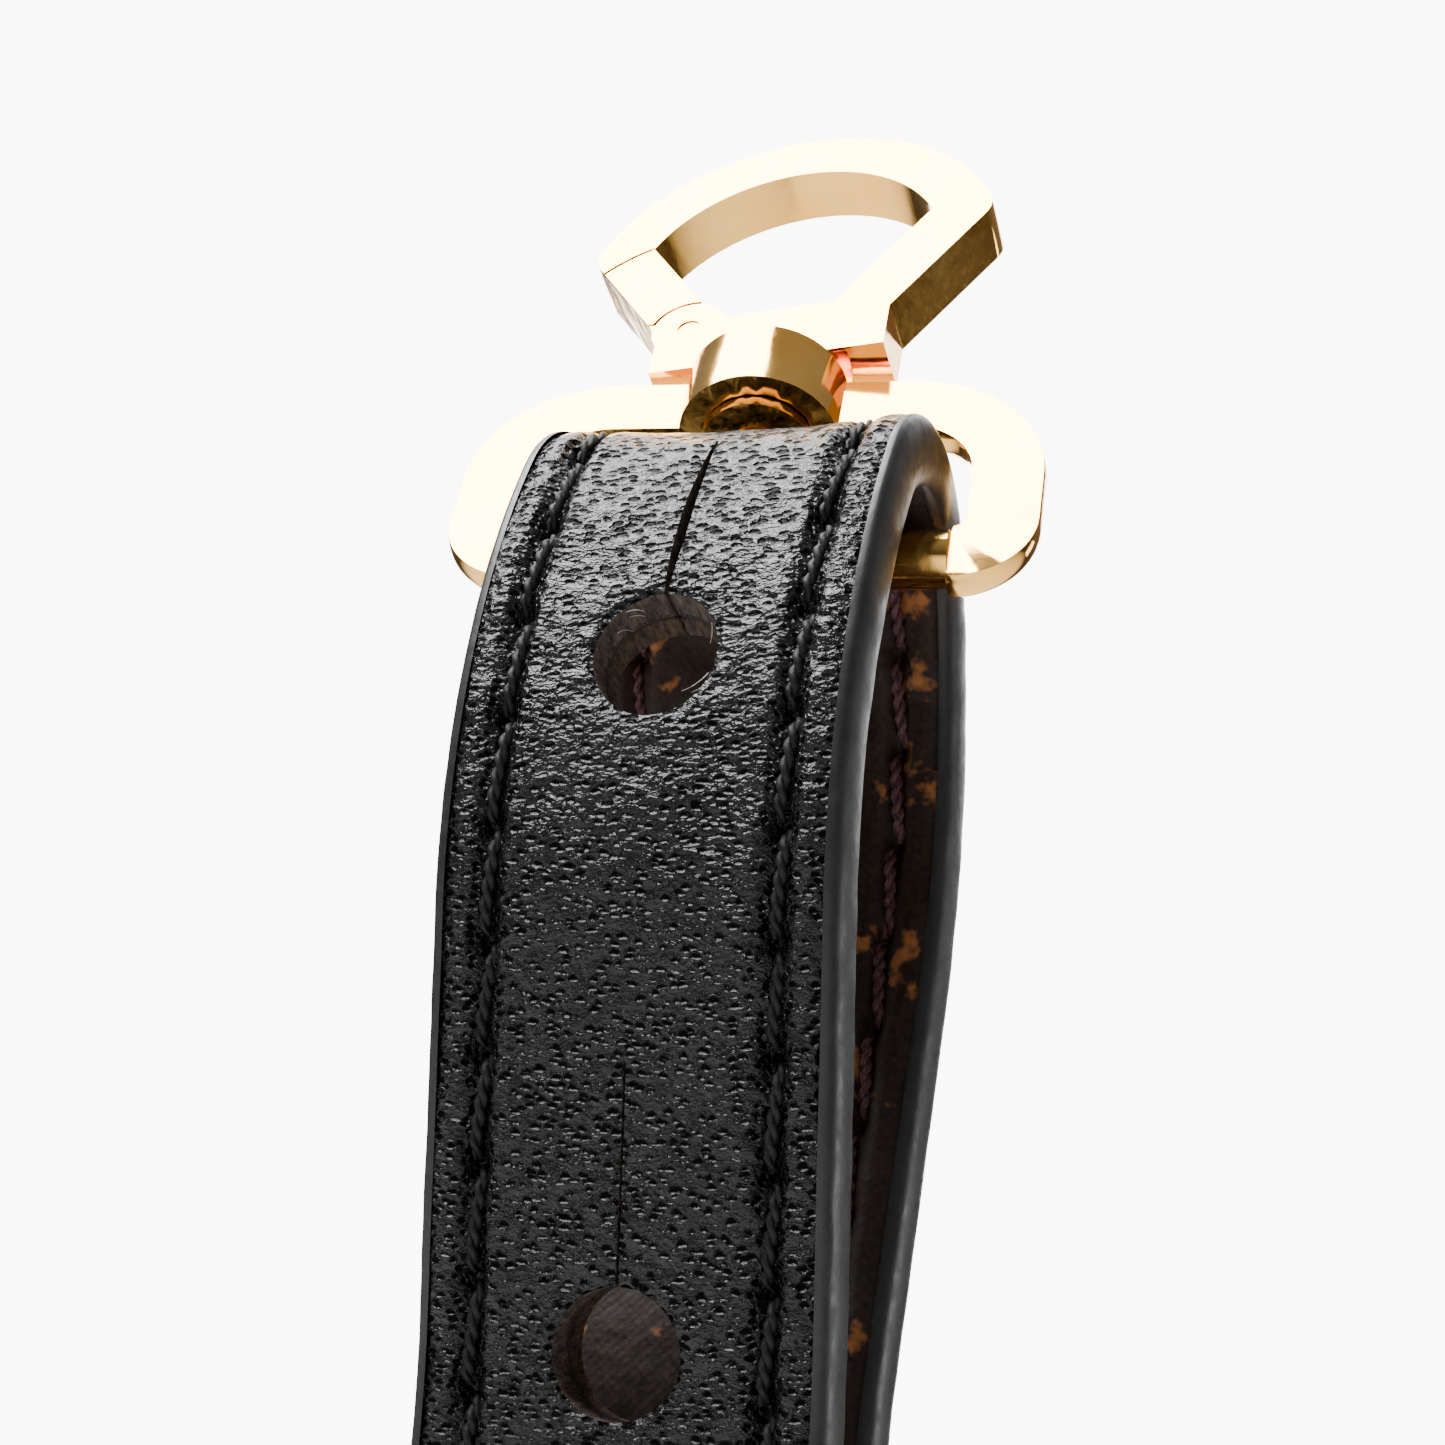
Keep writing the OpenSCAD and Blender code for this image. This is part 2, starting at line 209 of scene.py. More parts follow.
def lattice(rows, columns, first=0, closed=False, flip=False):
    """Faces of a grid of points, whose columns may close into a ring."""
    faces = []
    for i in range(rows - 1):
        for j in range(columns if closed else columns - 1):
            k = (j + 1) % columns
            corners = [i * columns + j, i * columns + k, (i + 1) * columns + k, (i + 1) * columns + j]
            faces.append([first + c for c in (reversed(corners) if flip else corners)])
    return faces


# ---- Leather and lining skins ----

# The square of grid cells that becomes a hole, and how far from its middle the grid bends round it
HOLE_SQUARE = 2.0
HOLE_REACH = 4.4
SLIT_HALF = 0.055
FIRST_SLIT_GAPE = 0.17
CHANNEL_DEPTH = 0.4
CHANNEL_HALF = 0.46
PIT_DEPTH = 0.45
MARGIN_X = 6.7
MARGIN_DROP = 0.26
HOLES = [-(HOLE_FIRST + i * HOLE_PITCH) for i in range(3)]
# The stretch of the strap round the fold that has the finest mesh
CLOSE_UP = (-46, 22)


def filled(breaks, step):
    """The breaks with evenly spaced values between them."""
    values = []
    for lo, hi in zip(breaks, breaks[1:]):
        values += list(np.linspace(lo, hi, max(1, math.ceil((hi - lo) / step((lo + hi) / 2))) + 1)[:-1])
    return np.array(values + [breaks[-1]])


def skin_rows(fine, coarse):
    """Lengths along the strap of a skin's rows, closer together near the fold."""
    breaks = [-TAIL_LEN, *CLOSE_UP, BACK_LEN]
    for hole in HOLES:
        breaks += [hole - HOLE_REACH, hole - HOLE_SQUARE, hole + HOLE_SQUARE, hole + HOLE_REACH]
        breaks.append(hole + HOLE_R + SLIT_LEN)
    return filled(sorted(breaks), lambda s: fine if CLOSE_UP[0] < s < CLOSE_UP[1] else coarse)


def skin_columns():
    """Places across the strap of a skin's columns, closer together at the stitch channels."""
    channel = (STITCH_X - 0.75, STITCH_X + 0.75)
    half = filled(
        [SLIT_HALF, HOLE_SQUARE, HOLE_REACH, *channel, LAYER_X],
        lambda x: 0.12 if channel[0] < x < channel[1] else 0.28,
    )
    return np.concatenate([-half[::-1], half])


def open_holes(s, x):
    """Bends a grid's lines round the stud holes. Returns the new places and each point's way to a rim."""
    to_rim = np.full(s.shape, 99.0)
    for hole in HOLES:
        ds = s - hole
        reach = np.maximum(np.abs(ds), np.abs(x))
        radius = np.maximum(np.hypot(ds, x), 1e-6)
        share = np.clip((HOLE_REACH - reach) / (HOLE_REACH - HOLE_SQUARE), 0, 1)
        round_off = (HOLE_R + reach - HOLE_SQUARE) / radius
        scale = np.where(reach < HOLE_REACH, 1 - share + share * round_off, 1)
        s = hole + ds * scale
        x = x * scale
        to_rim = np.minimum(to_rim, np.abs(np.hypot(s - hole, x) - HOLE_R))
        along = s - (hole + HOLE_R)
        in_slit = (along > -0.2) & (along < SLIT_LEN)
        gape = FIRST_SLIT_GAPE if hole == HOLES[0] else 0
        flare = gape * np.sin(np.pi * np.clip(along / SLIT_LEN, 0, 1) ** 0.8) * np.exp(-np.abs(x) / 0.9)
        x = np.where(in_slit, x + np.sign(x) * flare, x)
        to_rim = np.where(in_slit, np.minimum(to_rim, np.abs(x) + 0.05), to_rim)
    return s, x, to_rim


def is_cut(s, x):
    """Whether a cell of the grid, by its middle, lies in a stud hole or its slit."""
    cut = np.zeros(s.shape, bool)
    for hole in HOLES:
        cut |= (np.abs(s - hole) < HOLE_SQUARE) & (np.abs(x) < HOLE_SQUARE)
        cut |= (s > hole) & (s < hole + HOLE_R + SLIT_LEN) & (np.abs(x) < SLIT_HALF)
    return cut


def needle_way(s):
    """Signed distance along the strap to the nearest needle hole."""
    return (s - FIRST_STITCH + STITCH_PITCH / 2) % STITCH_PITCH - STITCH_PITCH / 2


def skin_height(s, x, to_rim, wrinkle, seed):
    """Height of a skin over its flat layer: channels, needle pits, soft rims, rolled margins, waves."""
    across = np.abs(x) - STITCH_X
    way = needle_way(s)
    channel = -CHANNEL_DEPTH * np.exp(-((across / CHANNEL_HALF) ** 2))
    swell = 1 + 0.6 * np.cos(way * 2 * np.pi / STITCH_PITCH)
    pillow = 0.07 * np.exp(-(((np.abs(across) - 0.85) / 0.35) ** 2)) * swell
    pit = -PIT_DEPTH * np.exp(-((way / 0.5) ** 2) - (across / 0.42) ** 2)
    rim = -0.14 * np.exp(-to_rim / 0.16) + 0.035 * np.exp(-(((to_rim - 0.9) / 0.6) ** 2))
    margin = -MARGIN_DROP * np.clip((np.abs(x) - MARGIN_X) / (LAYER_X - MARGIN_X), 0, 1) ** 2.2
    uneven = wrinkle * (waves(s, x, 9, seed) + 0.45 * waves(s, x, 3.1, seed + 1))
    return channel + pillow + pit + rim + margin + uneven


def strap_skin(name, side, depth, rows, wrinkle, seed, materials):
    """One face of the strap with its stud holes, slits and cut walls. Side is 1 outside and -1 inside."""
    columns = skin_columns()
    s_flat, x_flat = np.meshgrid(rows, columns, indexing="ij")
    s, x, to_rim = open_holes(s_flat, x_flat)
    o = side * (FACE_O + skin_height(s, x, to_rim, wrinkle, seed))
    lay = [np.stack([s, x, o], axis=-1).reshape(-1, 3)]
    points = [place(s, x, o).reshape(-1, 3)]
    middle_s = (s_flat[1:, 1:] + s_flat[:-1, :-1]) / 2
    middle_x = (x_flat[1:, 1:] + x_flat[:-1, :-1]) / 2
    kept = ~is_cut(middle_s, middle_x)
    across = len(columns)
    faces, edges = [], []
    for i, j in zip(*np.nonzero(kept)):
        a = int(i * across + j)
        corners = [a, a + 1, a + across + 1, a + across]
        faces.append(corners if side > 0 else corners[::-1])
        beside = [(i - 1, j), (i, j + 1), (i + 1, j), (i, j - 1)]
        for k, (m, n) in enumerate(beside):
            inside = 0 <= m < kept.shape[0] and 0 <= n < kept.shape[1]
            if not (inside and kept[m, n]):
                edges.append((corners[k], corners[(k + 1) % 4]))
    skin_faces = len(faces)

    # Cut walls: a chain of points goes down from each point of the border
    border = sorted({point for edge in edges for point in edge})
    chain = {point: number for number, point in enumerate(border)}
    steps = np.array([0, 0.08, 0.3, 0.55, 0.8, 1]) * depth
    flat = lay[0][border]
    rough = waves(flat[:, 0] * 9, flat[:, 1] * 9, 4, seed + 5)
    for number, down in enumerate(steps):
        wall = flat.copy()
        wall[:, 2] -= side * down
        shift = 0.03 * np.sin(number * 2.1) * rough
        wall[:, 1] += shift
        lay.append(wall)
        points.append(place(wall[:, 0], wall[:, 1], wall[:, 2]))
    first = len(lay[0])
    for a, b in edges:
        for k in range(len(steps) - 1):
            upper, lower = first + k * len(border), first + (k + 1) * len(border)
            quad = [upper + chain[b], upper + chain[a], lower + chain[a], lower + chain[b]]
            faces.append(quad if side > 0 else quad[::-1])
    kinds = [0] * skin_faces + [1] * (len(faces) - skin_faces)
    return add_mesh(name, np.concatenate(points), faces, np.concatenate(lay), materials, kinds)


# ---- Painted edges ----


def edge_bead(name, side, seed, material):
    """The domed paint along one edge of the strap, round to the middle of both ends."""
    depth = 0.7
    least = 0.08
    corner = 0.4
    count = 7
    inner_x = STRAP_W / 2 - depth
    bend = np.linspace(0, math.pi / 2, count)
    tail_s = -TAIL_LEN - PAINT_T + depth + corner
    end_s = BACK_LEN + PAINT_T - depth - corner
    straight = filled([tail_s, *CLOSE_UP, end_s], lambda s: 0.25 if CLOSE_UP[0] < s < CLOSE_UP[1] else 0.7)
    tip_x = np.linspace(0, inner_x - corner, count + 1)[:-1]
    s = np.concatenate([
        np.full(count, tail_s - corner), tail_s - corner * np.cos(bend), straight[1:-1],
        end_s + corner * np.sin(bend), np.full(count, end_s + corner),
    ])
    x = np.concatenate([
        tip_x, inner_x - corner * (1 - np.sin(bend)), np.full(len(straight) - 2, inner_x),
        inner_x - corner * (1 - np.cos(bend)), tip_x[::-1],
    ])
    out_s = np.concatenate([
        np.full(count, -1), -np.cos(bend), np.zeros(len(straight) - 2), np.sin(bend), np.full(count, 1),
    ])
    out_x = np.sqrt(1 - out_s ** 2)
    t = np.radians(np.linspace(-90, 90, 19))
    reach = least + 0.62 * np.cos(t).clip(0) ** 0.62
    height = (FACE_O - 0.03) * np.sign(np.sin(t)) * np.abs(np.sin(t)) ** 0.9
    s_all, t_all = np.meshgrid(s, np.arange(len(t)), indexing="ij")
    domed = np.cos(t)[t_all]
    e = reach[t_all] + 0.01 * waves(s_all, t_all * 0.16, 2.6, seed) * domed
    e = e + 0.012 * waves(s_all, t_all * 0.05, 12, seed + 3) * domed
    o = height[t_all] + 0.012 * waves(s_all, s_all * 0, 8, seed + 1)
    lay = np.stack([s_all + out_s[:, None] * e, side * (x[:, None] + out_x[:, None] * e), o], axis=-1)
    points = place(lay[..., 0], lay[..., 1], lay[..., 2])
    faces = lattice(len(s), len(t), flip=side > 0)
    piece = add_mesh(name, points, faces, lay, [material])
    return piece


# ---- Stitching ----


def stitch_row(name, side, face, seed, material):
    """A row of slanted stitches, each of two twisted plies whose ends dip into the needle holes."""
    rings, sides, plies = 17, 8, 2
    bare_ends = 8
    count = int((TAIL_LEN + BACK_LEN - bare_ends) / STITCH_PITCH)
    rng = np.random.default_rng(seed)
    t = np.linspace(0, 1, rings)[None, None, :, None]
    turn = (np.arange(sides) * 2 * math.pi / sides)[None, None, None, :]
    ply = np.arange(plies)[None, :, None, None]
    start = (FIRST_STITCH + np.arange(count) * STITCH_PITCH)[:, None, None, None]
    jitter = rng.normal(0, 1, (4, count, 1, 1, 1))
    s = start + 0.12 + t * (STITCH_PITCH - 0.24) + 0 * turn
    dip = np.abs(2 * t - 1) ** 5
    twist_len = 1.35
    twist = 2 * math.pi * (s / twist_len) + ply * math.pi + jitter[0]
    orbit = 0.125
    ply_r = 0.165 * (1 - 0.25 * dip)
    slant = 0.42 + 0.05 * jitter[1]
    x = side * STITCH_X + slant * (t - 0.5) + 0.03 * jitter[2]
    x = x + orbit * np.cos(twist) + ply_r * np.cos(turn)
    o = FACE_O - 0.27 + 0.03 * jitter[3] - 0.5 * dip + orbit * np.sin(twist) + ply_r * np.sin(turn)
    s, x, o = np.broadcast_arrays(s, x, face * o)
    lay = np.stack([s, x, o], axis=-1)
    faces = []
    for number in range(count * plies):
        faces += lattice(rings, sides, first=number * rings * sides, closed=True, flip=face < 0)
    return add_mesh(name, place(s, x, o), faces, lay, [material])


# ---- Loose fibres at the first stud hole ----


def hole_fibres(material):
    """A few pale loose fibres round the wall of the first hole."""
    rng = np.random.default_rng(41)
    count, sides, rings = 6, 6, 14
    lays, faces = [], []
    for number in range(count):
        angle = rng.uniform(-0.6, 3.6)
        length = rng.uniform(0.5, 1.5)
        t = np.linspace(0, 1, rings)[:, None]
        turn = (np.arange(sides) * 2 * math.pi / sides)[None, :]
        lean = rng.uniform(-0.8, 0.8)
        curl = rng.uniform(-1.2, 1.2)
        r = HOLE_R - 0.1 - 0.25 * t * length * math.cos(lean)
        a = angle + t * length / HOLE_R * (0.7 + 0.3 * curl * t)
        thin = 0.016 * (1 - 0.6 * t)
        s = HOLES[0] + r * np.sin(a) + thin * np.cos(turn)
        x = -r * np.cos(a) + thin * np.sin(turn)
        o = FACE_O - rng.uniform(0.1, 0.9) + 0.3 * curl * t * t + 0 * turn
        lays.append(np.stack(np.broadcast_arrays(s, x, o), axis=-1))
        faces += lattice(rings, sides, first=number * rings * sides, closed=True)
    lay = np.stack(lays)
    return add_mesh("hole_fibres", place(lay[..., 0], lay[..., 1], lay[..., 2]), faces, lay, [material])


# ---- Materials ----


def add(tree, kind, settings, inputs):
    """A shader node with its settings and inputs, where an input may be another node's output."""
    made = tree.nodes.new("ShaderNode" + kind)
    for key, value in settings.items():
        setattr(made, key, value)
    for key, value in inputs.items():
        if isinstance(value, bpy.types.NodeSocket):
            tree.links.new(value, made.inputs[key])
        else:
            made.inputs[key].default_value = value
    return made


def new_material(name, constants):
    """An empty material. Returns it with its tree and its shader."""
    material = bpy.data.materials.new(name)
    material.use_nodes = True
    tree = material.node_tree
    shader = tree.nodes["Principled BSDF"]
    for key, value in constants.items():
        shader.inputs[key].default_value = value
    return material, tree, shader


def noise(tree, where, scale, detail=3, roughness=0.55):
    """Cloudy noise between 0 and 1."""
    inputs = {"Vector": where, "Scale": scale, "Detail": detail, "Roughness": roughness}
    return add(tree, "TexNoise", {}, inputs).outputs["Fac"]


def cells(tree, where, scale, randomness=1.0):
    """Cells round scattered points. Returns the node, for its distance and its point."""
    inputs = {"Vector": where, "Scale": scale, "Randomness": randomness}
    return add(tree, "TexVoronoi", {"feature": "F1"}, inputs)


def ramp(tree, value, lo, hi, to_lo=0.0, to_hi=1.0):
    """Maps a value from one range to another, held at the ends."""
    inputs = {"Value": value, "From Min": lo, "From Max": hi, "To Min": to_lo, "To Max": to_hi}
    return add(tree, "MapRange", {}, inputs).outputs["Result"]


def calc(tree, operation, a, b):
    """The sum, product or other result of two numbers."""
    return add(tree, "Math", {"operation": operation}, {0: a, 1: b}).outputs[0]


def mix(tree, share, a, b):
    """A colour between a and b."""
    made = add(tree, "Mix", {"data_type": "RGBA"}, {0: share, 6: a, 7: b})
    return made.outputs[2]


def bump(tree, height, distance, strength=1.0, under=None):
    """A surface direction bumped by height, on top of another where one is given."""
    inputs = {"Height": height, "Distance": distance, "Strength": strength}
    if under is not None:
        inputs["Normal"] = under
    return add(tree, "Bump", {}, inputs).outputs["Normal"]


def object_place(tree):
    """A point's place in its object's own frame."""
    return tree.nodes.new("ShaderNodeTexCoord").outputs["Object"]


def strap_place(tree, stretch=(1, 1, 1)):
    """A point's place on the strap, stretched along it, across it and through it."""
    lay = add(tree, "Attribute", {"attribute_name": "lay"}, {}).outputs["Vector"]
    settings = {"operation": "MULTIPLY"}
    return add(tree, "VectorMath", settings, {0: lay, 1: stretch}).outputs["Vector"]


def leather_material():
    """Black pebbled calf leather with fine pores and small wrinkles."""
    material, tree, shader = new_material("black_leather", {"Specular IOR Level": 0.5})
    where = object_place(tree)
    grain_place = strap_place(tree, (1.15, 0.68, 1))
    slanted = add(tree, "VectorRotate", {"rotation_type": "Z_AXIS"}, {"Vector": grain_place, "Angle": 0.35})
    wander = add(tree, "TexNoise", {}, {"Vector": where, "Scale": 1500, "Detail": 2}).outputs["Color"]
    wander = add(tree, "VectorMath", {"operation": "SCALE"}, {0: wander, "Scale": 0.0003}).outputs["Vector"]
    bent = add(tree, "VectorMath", {"operation": "ADD"}, {0: slanted.outputs["Vector"], 1: wander})
    bent = bent.outputs["Vector"]
    pore = ramp(tree, cells(tree, bent, 2900, 0.8).outputs["Distance"], 0.26, 0.5)
    wrinkle = noise(tree, bent, 1350, 4, 0.6)
    fine = noise(tree, where, 11000, 3, 0.65)
    broad = noise(tree, where, 230, 3)
    tone = mix(tree, ramp(tree, fine, 0.35, 0.7), (0.004, 0.004, 0.0045, 1), (0.010, 0.010, 0.0115, 1))
    tone = mix(tree, pore, (0.002, 0.002, 0.002, 1), tone)
    tree.links.new(tone, shader.inputs["Base Color"])
    rough = calc(tree, "ADD", ramp(tree, broad, 0.3, 0.7, 0.2, 0.3), ramp(tree, fine, 0.3, 0.7, -0.05, 0.07))
    tree.links.new(rough, shader.inputs["Roughness"])
    tree.links.new(ramp(tree, pore, 0.0, 1.0, 0.02, 0.3), shader.inputs["Specular IOR Level"])
    normal = bump(tree, noise(tree, where, 480, 2), 0.0003, 0.6)
    normal = bump(tree, wrinkle, 0.00034, 1.0, normal)
    normal = bump(tree, pore, 0.00011, 1.0, normal)
    normal = bump(tree, fine, 0.00002, 0.5, normal)
    tree.links.new(normal, shader.inputs["Normal"])
    return material


def raw_edge_material(name, dark, pale):
    """The fibrous cut wall of a layer, or a loose fibre of it."""
    material, tree, shader = new_material(name, {"Roughness": 0.85, "Specular IOR Level": 0.25})
    where = object_place(tree)
    fibre = noise(tree, strap_place(tree, (1, 1, 0.25)), 5200, 5, 0.7)
    speck = noise(tree, where, 1500, 3)
    tone = mix(tree, ramp(tree, fibre, 0.35, 0.68), dark, pale)
    tone = mix(tree, ramp(tree, speck, 0.5, 0.75, 0, 0.6), tone, dark)
    tree.links.new(tone, shader.inputs["Base Color"])
    normal = bump(tree, fibre, 0.00014, 0.8)
    tree.links.new(normal, shader.inputs["Normal"])
    return material


def canvas_material():
    """Dark brown coated canvas with a plain weave, worn orange blotches and a waxy finish."""
    material, tree, shader = new_material("coated_canvas", {"Specular IOR Level": 0.25})
    where = object_place(tree)
    along = add(tree, "SeparateXYZ", {}, {"Vector": strap_place(tree)})
    weave_pitch = 0.42 * MM
    rate = 2 * math.pi / weave_pitch
    warp = add(tree, "Math", {"operation": "SINE"}, {0: calc(tree, "MULTIPLY", along.outputs["X"], rate)})
    weft = add(tree, "Math", {"operation": "SINE"}, {0: calc(tree, "MULTIPLY", along.outputs["Y"], rate)})
    weave = ramp(tree, calc(tree, "MULTIPLY", warp.outputs[0], weft.outputs[0]), -1, 1)
    blotch = noise(tree, where, 330, 4, 0.6)
    grain = noise(tree, where, 3800, 3)
    tone = mix(tree, ramp(tree, grain, 0.3, 0.7), (0.009, 0.005, 0.004, 1), (0.028, 0.015, 0.010, 1))
    tone = mix(tree, ramp(tree, blotch, 0.56, 0.62, 0, 0.9), tone, (0.30, 0.115, 0.035, 1))
    tone = mix(tree, ramp(tree, weave, 0.0, 1.0, 0.0, 0.04), tone, (0.02, 0.012, 0.01, 1))
    tree.links.new(tone, shader.inputs["Base Color"])
    tree.links.new(ramp(tree, grain, 0.3, 0.7, 0.5, 0.68), shader.inputs["Roughness"])
    normal = bump(tree, weave, 0.00002, 0.3)
    normal = bump(tree, noise(tree, where, 900, 3), 0.0002, 0.4, normal)
    tree.links.new(normal, shader.inputs["Normal"])
    return material


def paint_material():
    """Black edge paint: satin, softly uneven, with a little dust."""
    material, tree, shader = new_material("edge_paint", {"Specular IOR Level": 0.4})
    where = object_place(tree)
    dust = cells(tree, where, 520)
    speck = ramp(tree, dust.outputs["Distance"], 0.05, 0.09, 1, 0)
    rare = ramp(tree, noise(tree, dust.outputs["Position"], 700, 1), 0.56, 0.6)
    tone = mix(tree, noise(tree, where, 800, 3), (0.012, 0.012, 0.013, 1), (0.026, 0.026, 0.028, 1))
    tone = mix(tree, calc(tree, "MULTIPLY", speck, rare), tone, (0.5, 0.5, 0.48, 1))
    tree.links.new(tone, shader.inputs["Base Color"])
    tree.links.new(ramp(tree, noise(tree, where, 1900, 4), 0.3, 0.7, 0.3, 0.46), shader.inputs["Roughness"])
    normal = bump(tree, noise(tree, where, 900, 2), 0.00006, 0.4)
    normal = bump(tree, noise(tree, where, 6500, 2), 0.000012, 0.6, normal)
    tree.links.new(normal, shader.inputs["Normal"])
    return material


def thread_material(name, dark, pale):
    """Waxed thread, with its filaments along the stitch."""
    material, tree, shader = new_material(name, {"Specular IOR Level": 0.25})
    filament = noise(tree, strap_place(tree, (0.16, 1, 1)), 14000, 3)
    tree.links.new(mix(tree, ramp(tree, filament, 0.35, 0.65), dark, pale), shader.inputs["Base Color"])
    tree.links.new(ramp(tree, filament, 0.3, 0.7, 0.48, 0.7), shader.inputs["Roughness"])
    tree.links.new(bump(tree, filament, 0.00004, 0.6), shader.inputs["Normal"])
    return material


def gold_material():
    """Polished gold plating with a faint haze, hairline scratches and small tone changes."""
    material, tree, shader = new_material("gold", {"Metallic": 1.0})
    where = object_place(tree)
    haze = noise(tree, where, 260, 4)
    stretch = add(tree, "VectorMath", {"operation": "MULTIPLY"}, {0: where, 1: (1, 0.06, 0.4)})
    hair = noise(tree, stretch.outputs["Vector"], 16000, 2, 0.7)
    tone = mix(tree, ramp(tree, haze, 0.3, 0.7), (0.97, 0.48, 0.09, 1), (1.0, 0.58, 0.15, 1))
    tree.links.new(tone, shader.inputs["Base Color"])
    rough = calc(tree, "ADD", ramp(tree, haze, 0.3, 0.7, 0.07, 0.13), ramp(tree, hair, 0.55, 0.75, 0, 0.06))
    tree.links.new(rough, shader.inputs["Roughness"])
    normal = bump(tree, noise(tree, where, 500, 2), 0.00008, 0.35)
    normal = bump(tree, hair, 0.000002, 0.5, normal)
    tree.links.new(normal, shader.inputs["Normal"])
    return material


def steel_material():
    """Drawn spring wire."""
    material, tree, shader = new_material("spring_steel", {"Metallic": 1.0})
    where = object_place(tree)
    drawn = noise(tree, where, 9000, 3)
    tone = mix(tree, drawn, (0.42, 0.42, 0.43, 1), (0.62, 0.62, 0.63, 1))
    tree.links.new(tone, shader.inputs["Base Color"])
    tree.links.new(ramp(tree, drawn, 0.3, 0.7, 0.25, 0.42), shader.inputs["Roughness"])
    return material


def floor_material():
    """Matt pale card."""
    material, tree, shader = new_material("pale_card", {"Roughness": 0.9})
    speck = noise(tree, object_place(tree), 900, 3)
    tree.links.new(mix(tree, speck, (0.5, 0.5, 0.49, 1), (0.56, 0.56, 0.55, 1)), shader.inputs["Base Color"])
    return material


# ---- The strap's pieces ----

leather = leather_material()
leather_cut = raw_edge_material("leather_cut", (0.02, 0.014, 0.012, 1), (0.14, 0.105, 0.085, 1))
canvas = canvas_material()
canvas_cut = raw_edge_material("canvas_cut", (0.02, 0.012, 0.01, 1), (0.12, 0.075, 0.05, 1))
core_board = raw_edge_material("core_board", (0.012, 0.01, 0.01, 1), (0.06, 0.045, 0.035, 1))
edge_paint = paint_material()
black_thread = thread_material("black_thread", (0.003, 0.003, 0.0032, 1), (0.011, 0.011, 0.012, 1))
brown_thread = thread_material("brown_thread", (0.03, 0.012, 0.016, 1), (0.12, 0.05, 0.055, 1))
loose_fibre = raw_edge_material("loose_fibre", (0.5, 0.47, 0.43, 1), (0.8, 0.78, 0.74, 1))

leather_rows = skin_rows(fine=0.17, coarse=0.7)
leather_skin = strap_skin("leather_skin", 1, LEATHER_T, leather_rows, 0.035, 11, [leather, leather_cut])
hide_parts("strap_leather")

lining_rows = skin_rows(fine=0.3, coarse=0.55)
lining_skin = strap_skin("lining_skin", -1, LINING_T, lining_rows, 0.06, 23, [canvas, canvas_cut])
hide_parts("strap_lining")

for word, side in (("left", -1), ("right", 1)):
    bead = edge_bead("edge_bead_" + word, side, 31 + side, edge_paint)
    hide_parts("edge_paint_" + word)
    face_row = stitch_row("face_stitches_" + word, side, 1, 51 + side, black_thread)
    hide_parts("face_stitching_" + word)
    lining_row = stitch_row("lining_stitches_" + word, side, -1, 61 + side, brown_thread)
    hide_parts("lining_stitching_" + word)

hole_fibres(loose_fibre)

# ---- CAD nodes that stay, with soft edges and real finishes ----

gold = gold_material()
steel = steel_material()


def finish_node(name, material, edge):
    """Gives a CAD node its material and, where edge isn't 0, rounded edges of that radius."""
    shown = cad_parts[name]
    shown.data.materials.clear()
    shown.data.materials.append(material)
    if edge == 0:
        return
    custom = shown.data.attributes.get("custom_normal")
    if custom is not None:
        shown.data.attributes.remove(custom)
    shown.data.polygons.foreach_set("use_smooth", [True] * len(shown.data.polygons))
    weld = shown.modifiers.new("weld", "WELD")
    weld.merge_threshold = 0.002 * MM
    soft = shown.modifiers.new("soft_edges", "BEVEL")
    soft.width = edge * MM
    soft.segments = 3
    soft.limit_method = "ANGLE"
    soft.angle_limit = math.radians(32)
    shown.modifiers.new("flat_faces", "WEIGHTED_NORMAL")


finish_node("strap_core", core_board, 0)
finish_node("gate_spring", steel, 0)
SOFT_EDGES = {
    "hook_body": 0.22, "gate": 0.2, "strap_ring": 0.12, "swivel_rivet": 0.12, "swivel_washer": 0.08,
    "gate_pin": 0.08, "closure_stud": 0.15, "stud_screw": 0.12,
}
for node_name, edge in SOFT_EDGES.items():
    finish_node(node_name, gold, edge)

# ---- Floor, light and camera ----

# The floor lies just under the strap's round bottom, so that they don't share a surface
FLOOR_SIZE = 3
FLOOR_Z = -0.2 * MM
bpy.ops.mesh.primitive_plane_add(size=FLOOR_SIZE, location=(0, 0, FLOOR_Z))
floor = bpy.context.object
floor.name = "floor"
floor.data.materials.append(floor_material())


def soft_box(name, place_at, aim, size, watts):
    """A square white area light aimed at a point."""
    light = bpy.data.lights.new(name, "AREA")
    light.size = size
    light.energy = watts
    lamp = bpy.data.objects.new(name, light)
    bpy.context.collection.objects.link(lamp)
    lamp.location = place_at
    lamp.rotation_euler = (Vector(aim) - Vector(place_at)).to_track_quat("-Z", "Y").to_euler()


AIM = (0, 0, TOP_Z * MM)
soft_box("top_light", (-0.2, -0.1, 0.66), AIM, 0.42, 15)
soft_box("back_light", (-0.12, 0.48, 0.56), AIM, 0.6, 6)
soft_box("edge_light", (0.62, 0.7, 0.2), AIM, 0.2, 0.7)
soft_box("front_light", (-0.3, -0.7, 0.42), AIM, 0.12, 0.12)

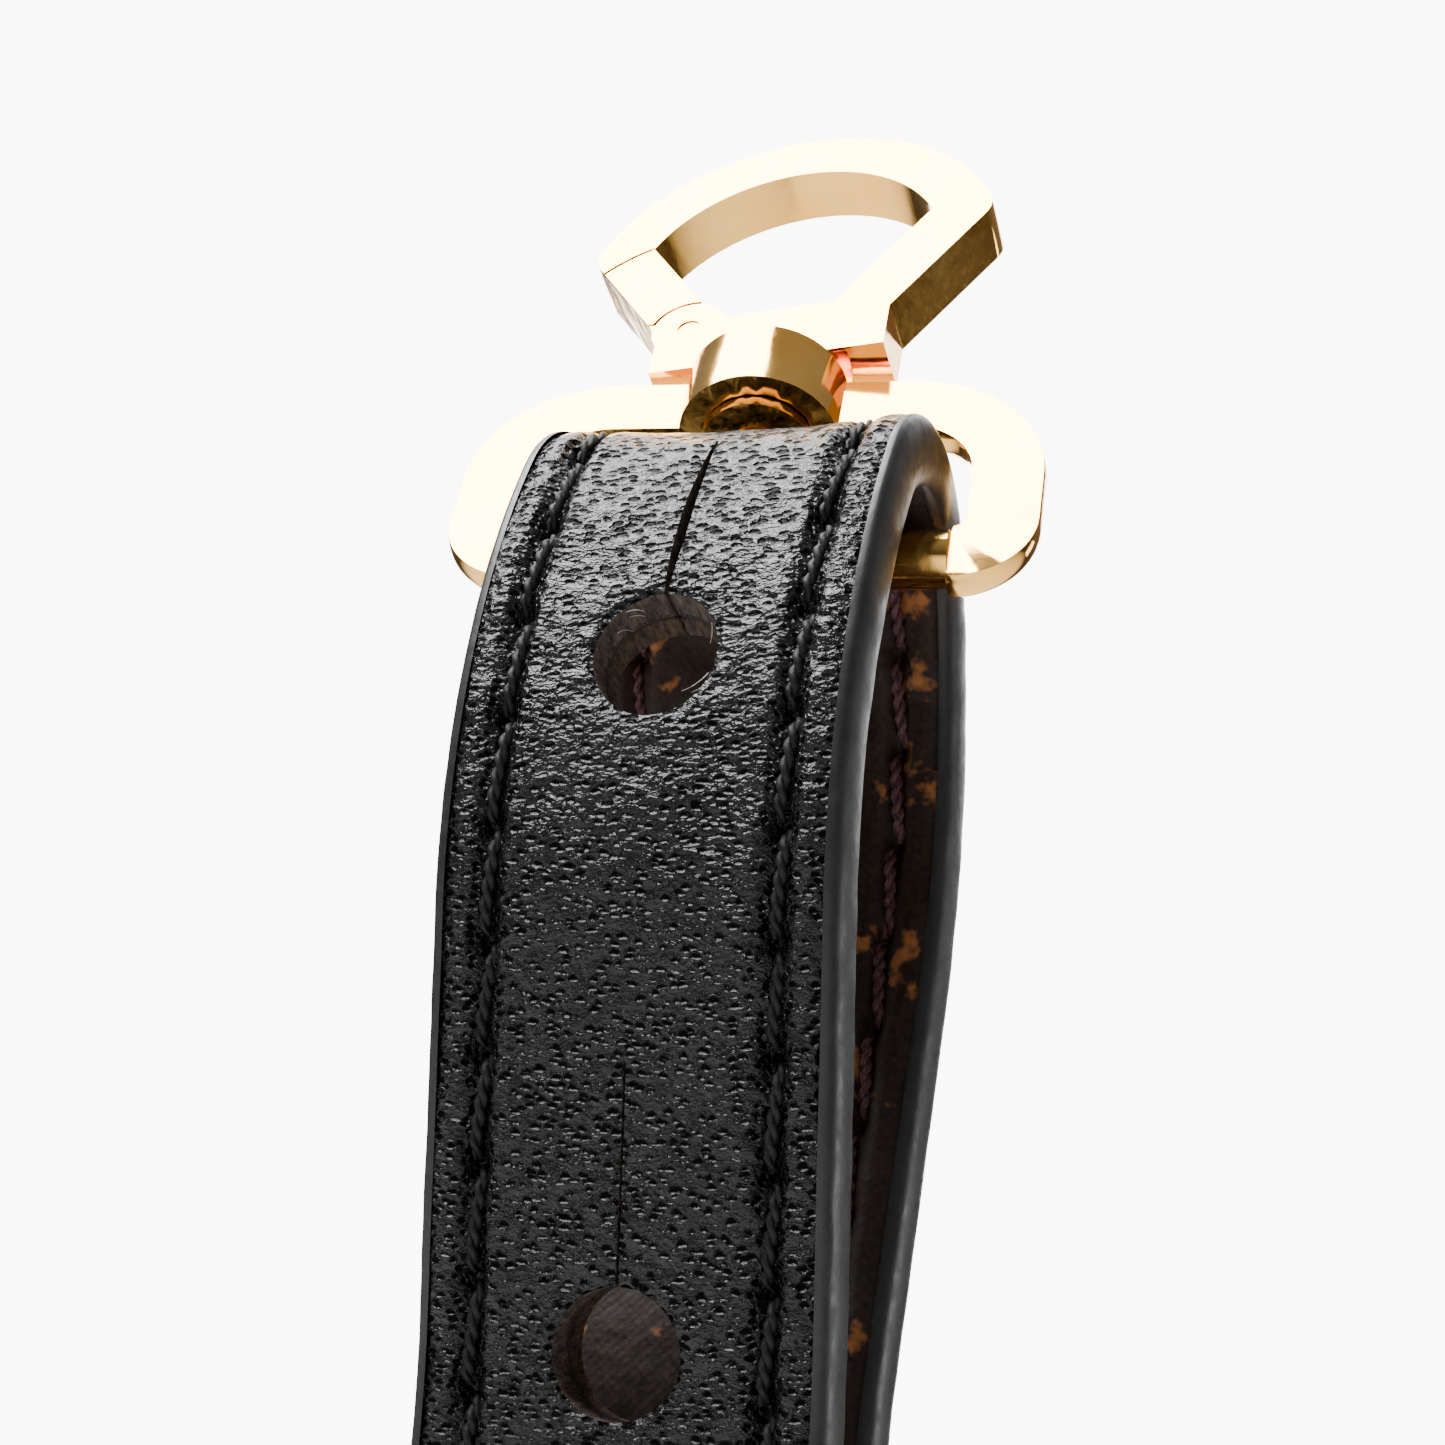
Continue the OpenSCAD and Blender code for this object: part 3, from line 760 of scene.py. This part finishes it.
world = bpy.data.worlds.new("studio")
bpy.context.scene.world = world
world.use_nodes = True
sky = world.node_tree
heading = add(sky, "SeparateXYZ", {}, {"Vector": sky.nodes.new("ShaderNodeTexCoord").outputs["Generated"]})
upward = ramp(sky, heading.outputs["Z"], -0.2, 0.9)
tint = mix(sky, upward, (0.02, 0.015, 0.012, 1), (0.35, 0.35, 0.35, 1))
sky.links.new(tint, sky.nodes["Background"].inputs["Color"])


def add_camera(azimuth, elevation, distance, lens, target, roll):
    """A camera that looks at target along the azimuth and elevation, turned about its own axis by roll."""
    data = bpy.data.cameras.new("camera")
    data.lens = lens
    data.sensor_width = 36
    data.clip_start = 0.005
    camera = bpy.data.objects.new("camera", data)
    bpy.context.collection.objects.link(camera)
    ahead = Vector((
        -sine(azimuth) * cosine(elevation), cosine(azimuth) * cosine(elevation), -sine(elevation),
    ))
    camera.location = Vector(target) - ahead * distance
    turned = ahead.to_track_quat("-Z", "Y").to_matrix() @ Matrix.Rotation(math.radians(roll), 3, "Z")
    camera.rotation_euler = turned.to_euler()
    bpy.context.scene.camera = camera
    return camera, ahead


# The target lies below and in front of the top of the fold, and the camera looks up at it
fold_top = Vector((CENTRE_X, -AXIS_Y, TOP_Z - FACE_O))
camera_target = (fold_top + Vector((2.91, -8, -13.37))) * MM
camera, ahead = add_camera(
    azimuth=20.48, elevation=-17.76, distance=0.10441, lens=71, target=camera_target, roll=5.76,
)

# A glowing white card behind the object fills the camera's view
CARD_AWAY = 1.1
CARD_MARGIN = 1.12
card_size = CARD_AWAY * camera.data.sensor_width / camera.data.lens * CARD_MARGIN
bpy.ops.mesh.primitive_plane_add(size=card_size, location=camera.location + ahead * CARD_AWAY)
card = bpy.context.object
card.name = "white_card"
card.rotation_euler = camera.rotation_euler
glow, glow_tree, glow_shader = new_material("white_card", {"Roughness": 1.0, "Emission Strength": 9})
glow_speck = noise(glow_tree, object_place(glow_tree), 20, 2)
glow_tone = mix(glow_tree, glow_speck, (0.98, 0.98, 0.98, 1), (1.0, 1.0, 1.0, 1))
glow_tree.links.new(glow_tone, glow_shader.inputs["Emission Color"])
card.data.materials.append(glow)
